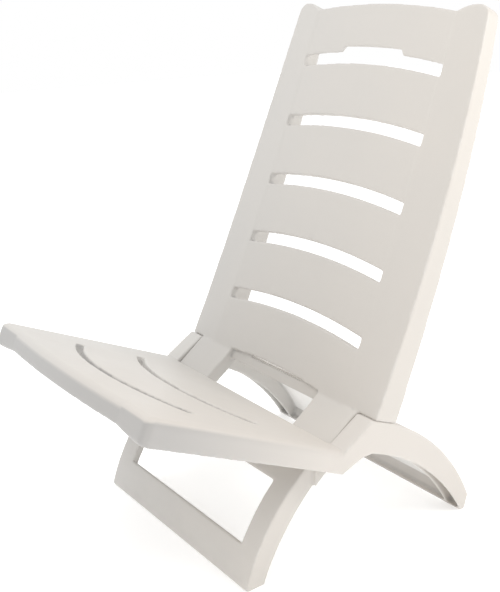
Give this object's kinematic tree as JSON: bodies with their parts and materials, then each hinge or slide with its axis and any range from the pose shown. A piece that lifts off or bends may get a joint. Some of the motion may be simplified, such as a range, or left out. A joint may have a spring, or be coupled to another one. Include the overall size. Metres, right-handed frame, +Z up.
{
  "type": "low folding beach chair",
  "caption": "Low folding outdoor chair of two crossing moulded shells, with slatted back, curved seat slots, and arched legs.",
  "frame": {"origin": "on the floor, below the middle of the open chair's box", "axes": "+X to the sitter's left, -Y to the front, +Z up; stored open"},
  "size_m": [0.43, 0.5834, 0.7191],
  "materials": {
    "back_plastic": "satin off-white moulded plastic with a fine grain",
    "seat_plastic": "satin off-white moulded plastic with a fine grain",
    "pin_plastic": "smooth moulded plastic"
  },
  "bodies": {
    "back_frame": {"back_rail_left": "back_plastic", "back_rail_right": "back_plastic", "back_top_rail": "back_plastic", "back_slat_1": "back_plastic", "back_slat_2": "back_plastic", "back_slat_3": "back_plastic", "back_slat_4": "back_plastic", "back_slat_5": "back_plastic", "back_foot_rail": "back_plastic", "arm_left": "back_plastic", "arm_right": "back_plastic", "front_cross_plate": "back_plastic", "front_leg_left": "back_plastic", "front_leg_right": "back_plastic", "foot_bar": "back_plastic", "pivot_pin_left": "pin_plastic", "pivot_pin_right": "pin_plastic"},
    "seat_frame": {"seat_rail_left": "seat_plastic", "seat_rail_right": "seat_plastic", "seat_front_rail": "seat_plastic", "seat_slat_front": "seat_plastic", "seat_slat_middle": "seat_plastic", "seat_slat_rear": "seat_plastic", "rear_leg_left": "seat_plastic", "rear_leg_right": "seat_plastic", "rear_cross_panel": "seat_plastic"}
  },
  "joints": [
    {"name": "fold", "type": "hinge", "parent": "back_frame", "child": "seat_frame", "pos_m": [0, 0.02892, 0.168], "axis": [-1, 0, 0], "range_deg": [0, 85]}
  ]
}
